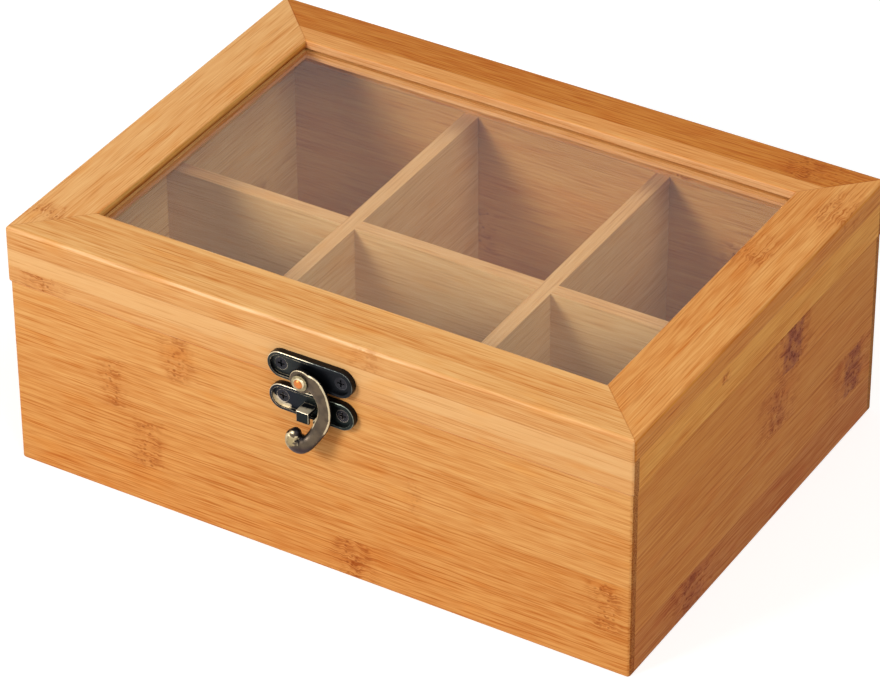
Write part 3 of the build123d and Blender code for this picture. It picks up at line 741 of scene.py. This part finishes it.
def eye_ring(around=96, section=24):
    """A washer round the rivet: point = axis + (middle + width / 2 * c(a)) * (cos b, sin b), with depth / 2 * s(a) along y."""
    turn = np.linspace(0, 2 * np.pi, around, endpoint=False)[:, None]
    cosine, sine = squared_circle(np.linspace(0, 2 * np.pi, section, endpoint=False), 3.2)
    radius = EYE_MIDDLE + EYE_WIDTH / 2 * cosine[None, :]
    x = PIVOT[0] + radius * np.cos(turn)
    z = PIVOT[2] + radius * np.sin(turn)
    y = LID_FACE - 3.4 + EYE_DEPTH / 2 * sine[None, :] + 0 * turn
    return np.stack([x, y, z], -1)


rough_hook = bpy.data.objects.new("hook_rough", mesh_from_grids("hook_rough", [
    (swept_bar(from_pivot(ARM)), False), (swept_bar(from_pivot(FINGER), rows=24), False), (eye_ring(), True)]))
bpy.context.scene.collection.objects.link(rough_hook)
merge = rough_hook.modifiers.new("one skin", "REMESH")
merge.mode, merge.voxel_size, merge.use_smooth_shade = "VOXEL", HOOK_VOXEL, True
soften = rough_hook.modifiers.new("cast softness", "SMOOTH")
soften.factor, soften.iterations = 0.5, 4
bpy.context.view_layer.update()
hook_mesh = bpy.data.meshes.new_from_object(rough_hook.evaluated_get(bpy.context.evaluated_depsgraph_get()))
hook_mesh.name = "hook_casting"
bpy.data.objects.remove(rough_hook)
hook = bpy.data.objects.new("hook_casting", hook_mesh)
bpy.context.scene.collection.objects.link(hook)
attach(hook, "hook")
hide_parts("swing_hook")

# %% [markdown]
# ## Antique bronze
# The latch and the hinges are cast or pressed and blackened all over. Their colour also paints light and
# shade: the front faces are browner and the rounded edges bright, while walls and hollows stay black, and
# this is partly rubbed bronze, partly painted shade on faces that turn from the front and a painted
# highlight on the edges. The way a surface faces, in the piece's own axes, tells these places apart, and
# slow noise breaks them up. A painted picture of wear would have to be fitted to every plate; this mask
# needs no fitting.

# %% The group for antique bronze
bronze_group, start, end = new_group(
    "antique_bronze",
    {"Place": "vector", "Facing": "float", "Edge": "float", "Wear And Painted Light": "float", "Black": "colour", "Brown": "colour", "Bright": "colour"},
    {"Color": "colour", "Roughness": "float", "Metallic": "float", "Height": "float"},
)
# the wear input also carries painted highlights and painted shade that each piece sets
tree = bronze_group
given = start.outputs
cloud = add(tree, "ShaderNodeTexNoise", {"Vector": given["Place"], "Scale": 0.35, "Detail": 3.0}).outputs["Fac"]
pitting = add(tree, "ShaderNodeTexNoise", {"Vector": given["Place"], "Scale": 2.4, "Detail": 3.0}).outputs["Fac"]
# the front faces, given by how squarely they face forwards, turn brown in clouds; the black on other faces is partly
# painted shade
front = calc(tree, "MULTIPLY", ease(tree, given["Facing"], 0.45, 0.95), ease(tree, cloud, 0.30, 0.62, 0.55, 1.0))
skin = blend_colours(tree, front, given["Black"], given["Brown"])
# rims that half face forwards are bright: partly rubbed bronze, partly painted highlight
rim_wear_and_highlight = calc(tree, "MULTIPLY", ease(tree, given["Facing"], 0.30, 0.62), ease(tree, given["Facing"], 0.80, 0.97, 1.0, 0.0))
brightened = calc(tree, "ADD", calc(tree, "MAXIMUM", rim_wear_and_highlight, given["Edge"]), given["Wear And Painted Light"])
brightened = calc(tree, "MULTIPLY_ADD", calc(tree, "SUBTRACT", pitting, 0.5), 0.7, brightened)
brightened = calc(tree, "MULTIPLY_ADD", calc(tree, "SUBTRACT", cloud, 0.5), 1.2, brightened)
bare_and_highlit = ease(tree, brightened, 0.45, 1.0)
tree.links.new(blend_colours(tree, bare_and_highlit, skin, given["Bright"]), end.inputs["Color"])
rough = calc(tree, "MULTIPLY_ADD", pitting, 0.16, ease(tree, bare_and_highlit, 0.0, 1.0, 0.30, 0.26))
tree.links.new(rough, end.inputs["Roughness"])
tree.links.new(ease(tree, bare_and_highlit, 0.0, 1.0, 0.85, 0.45), end.inputs["Metallic"])
tree.links.new(calc(tree, "MULTIPLY", pitting, -1.0), end.inputs["Height"])
print("bronze group nodes", len(tree.nodes))


# %% Finishes for the metal
def edge_mask(tree, reach):
    """1 on the rounded edges of a piece: there a normal averaged over a small reach leans away."""
    averaged = add(tree, "ShaderNodeBevel", {"Radius": reach}, samples=4)
    plain = tree.nodes.new("ShaderNodeNewGeometry").outputs["Normal"]
    together = add(tree, "ShaderNodeVectorMath", {0: averaged.outputs[0], 1: plain}, operation="DOT_PRODUCT").outputs["Value"]
    return ease(tree, together, 0.99, 0.90)


def bronze(name, black=(22, 23, 28), brown=(44, 43, 48), bright=(206, 190, 156), reach=0.0004, edges=0.6, local=None):
    """Antique bronze: black walls and hollows, browner front faces and bright edges, partly painted shade and painted
    highlight.

    local(tree, place, facing) may return inputs of the group that change over the piece."""
    material, tree, shader = new_material(name)
    coordinates = tree.nodes.new("ShaderNodeTexCoord")
    millimetres = add(tree, "ShaderNodeVectorMath", {0: coordinates.outputs["Object"], "Scale": 1000.0}, operation="SCALE").outputs[0]
    place = add(tree, "ShaderNodeSeparateXYZ", {0: millimetres}).outputs
    facing = add(tree, "ShaderNodeSeparateXYZ", {0: coordinates.outputs["Normal"]}).outputs
    inputs = {
        "Place": millimetres, "Facing": calc(tree, "MULTIPLY", facing[1], -1.0), "Wear And Painted Light": 0.0,
        "Edge": calc(tree, "MULTIPLY", edge_mask(tree, reach), edges),
        "Black": colour(*black), "Brown": colour(*brown), "Bright": colour(*bright),
    }
    if local:
        inputs.update(local(tree, place, facing))
    metal = use_group(tree, bronze_group, inputs)
    for label, socket in (("Color", "Base Color"), ("Roughness", "Roughness"), ("Metallic", "Metallic")):
        tree.links.new(metal[label], shader.inputs[socket])
    bump = add(tree, "ShaderNodeBump", {"Height": metal["Height"], "Strength": 0.4, "Distance": 0.00008})
    tree.links.new(bump.outputs[0], shader.inputs["Normal"])
    return material


def latch_plate_field_and_highlight(tree, place, facing):
    """The upper plate's field is greyer at the left and darker to the right, and its rims carry a painted highlight,
    cream at the left and fading to grey at the right.
    """
    far = ease(tree, place[0], -9.0, 1.0)
    return {
        "Wear And Painted Light": ease(tree, place[0], -4.0, 5.0, 0.10, -0.30),
        "Brown": blend_colours(tree, far, colour(46, 50, 48), colour(19, 22, 27)),
        "Bright": blend_colours(tree, ease(tree, place[0], -4.0, 4.0), colour(228, 208, 170), colour(112, 116, 106)),
    }


CATCH_END_X = -8.95
CATCH_Z = 60.0


def crescent_highlight(tree, place):
    """1 in a crescent at the lower left of the lower plate's hollow, where a painted highlight lies."""
    left = calc(tree, "MINIMUM", calc(tree, "SUBTRACT", place[0], CATCH_END_X), 0.0)
    below = calc(tree, "SUBTRACT", place[2], CATCH_Z)
    aslant = calc(tree, "MULTIPLY_ADD", below, -0.86, calc(tree, "MULTIPLY", left, -0.52))
    return calc(tree, "MULTIPLY", ease(tree, aslant, 1.35, 2.4), ease(tree, place[0], -4.8, -7.6))


def catch_plate_highlights(tree, place, facing):
    """Painted highlights on the top of the tab's tip and in a crescent in the plate's hollow; to the right the rims are
    dimmer.
    """
    fade = ease(tree, place[0], 0.0, 6.0, 0.10, -0.30)
    reach = calc(tree, "MULTIPLY", place[1], -1.0)
    tab_top_highlight = calc(tree, "MULTIPLY", ease(tree, facing[2], 0.30, 0.75), ease(tree, reach, 80.6, 83.6, 0.0, 1.1))
    brightened = calc(tree, "MULTIPLY", crescent_highlight(tree, place), ease(tree, reach, 80.9, 80.4))
    return {
        "Wear And Painted Light": calc(tree, "MAXIMUM", fade, calc(tree, "MAXIMUM", tab_top_highlight, brightened)),
        "Brown": blend_colours(tree, ease(tree, place[0], -8.0, 2.0), colour(26, 29, 38), colour(24, 32, 30)),
        "Bright": blend_colours(tree, ease(tree, place[0], 0.0, 6.0), colour(222, 204, 172), colour(124, 130, 114)),
    }


def catch_screw_highlight(tree, place, facing):
    """The painted crescent highlight runs on over the left screw's head."""
    return {"Wear And Painted Light": calc(tree, "MULTIPLY", crescent_highlight(tree, place), 0.9)}


# the middle of a painted highlight on the curl, x and z in millimetres
LUMP_HIGHLIGHT_AT = (-2.0, 50.3)


def hook_highlight_and_shade(tree, place, facing):
    """Painted shade keeps the curl's hollow, its purplish underside and its right side dark, and a painted highlight
    lies on the left of the curl.
    """
    # painted shade: the curl's hollow, its underside and its right side
    low = ease(tree, place[2], 55.5, 53.0)
    hollow_shade = calc(tree, "MULTIPLY", ease(tree, facing[2], 0.05, 0.45), ease(tree, place[0], -1.6, -0.2))
    hollow_shade = calc(tree, "MULTIPLY", low, hollow_shade)
    shade_below = calc(tree, "MULTIPLY", ease(tree, place[2], 50.2, 48.2), ease(tree, place[0], -3.0, -0.5))
    outer_side_shade = calc(tree, "MULTIPLY", low, ease(tree, place[0], 2.0, 4.0))
    # painted highlight on the left of the curl
    aside = calc(tree, "SUBTRACT", place[0], LUMP_HIGHLIGHT_AT[0])
    above = calc(tree, "SUBTRACT", place[2], LUMP_HIGHLIGHT_AT[1])
    squared = calc(tree, "MULTIPLY_ADD", aside, aside, calc(tree, "MULTIPLY", above, above))
    lump_highlight = ease(tree, calc(tree, "SQRT", squared), 3.2, 1.0)
    painted_light = calc(tree, "MULTIPLY_ADD", hollow_shade, -1.3, calc(tree, "MULTIPLY_ADD", shade_below, -1.3, lump_highlight))
    return {
        "Wear And Painted Light": calc(tree, "MULTIPLY_ADD", outer_side_shade, -0.7, painted_light),
        "Brown": blend_colours(tree, shade_below, colour(96, 82, 66), colour(62, 48, 50)),
        "Bright": blend_colours(tree, lump_highlight, colour(214, 196, 158), colour(158, 138, 96)),
    }


def rivet_rings(tree, place, facing):
    """A copper dome in a dull brass ring: the radius from the rivet's axis tells them apart."""
    aside = calc(tree, "SUBTRACT", place[0], -0.7)
    above = calc(tree, "SUBTRACT", place[2], 69.8)
    squared = calc(tree, "ADD", calc(tree, "MULTIPLY", aside, aside), calc(tree, "MULTIPLY", above, above))
    ring = ease(tree, calc(tree, "SQRT", squared), 1.35, 1.75)
    return {
        "Brown": blend_colours(tree, ring, colour(222, 132, 66), colour(168, 154, 118)),
        "Black": blend_colours(tree, ring, colour(150, 84, 40), colour(40, 36, 28)),
        "Wear And Painted Light": ease(tree, ring, 0.0, 1.0, -0.5, 0.15),
    }


plate_bronze = {
    "latch_plate": bronze("antique_bronze_latch_plate", local=latch_plate_field_and_highlight),
    "catch_plate": bronze("antique_bronze_catch_plate", local=catch_plate_highlights),
}
hook_bronze = bronze("antique_bronze_hook", black=(34, 30, 32), brown=(104, 90, 74), local=hook_highlight_and_shade)
hinge_bronze = bronze("antique_bronze_hinge", black=(40, 36, 36))
screw_bronze = bronze("antique_bronze_screw", bright=(120, 124, 130), reach=0.0002)
copper = bronze("copper_rivet", bright=(236, 218, 178), local=rivet_rings)
for name, finish in plate_bronze.items():
    dress(name, finish)
hook_mesh.materials.append(hook_bronze)
dress("swing_hook", hook_bronze)
dress("latch_rivet", copper)
for name in nodes:
    if name == "catch_plate_screws":
        dress(name, bronze("antique_bronze_catch_screws", bright=(226, 206, 190), reach=0.0002, local=catch_screw_highlight))
    elif "screws" in name or "pin" in name:
        dress(name, screw_bronze)
    elif "hinge_leaf" in name:
        dress(name, hinge_bronze)
print("metal dressed")

# %% [markdown]
# ## Measure the dressed model
# The dressed model is measured the same way as the CAD model, both boxes go into one table, and the
# dressed box is printed.

# %% Measure and finish
dressed_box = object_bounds()
sizes = {"cad": [list(corner) for corner in cad_box], "dressed": [list(corner) for corner in dressed_box]}
print("dressed box", [round(v, 4) for corner in dressed_box for v in corner])
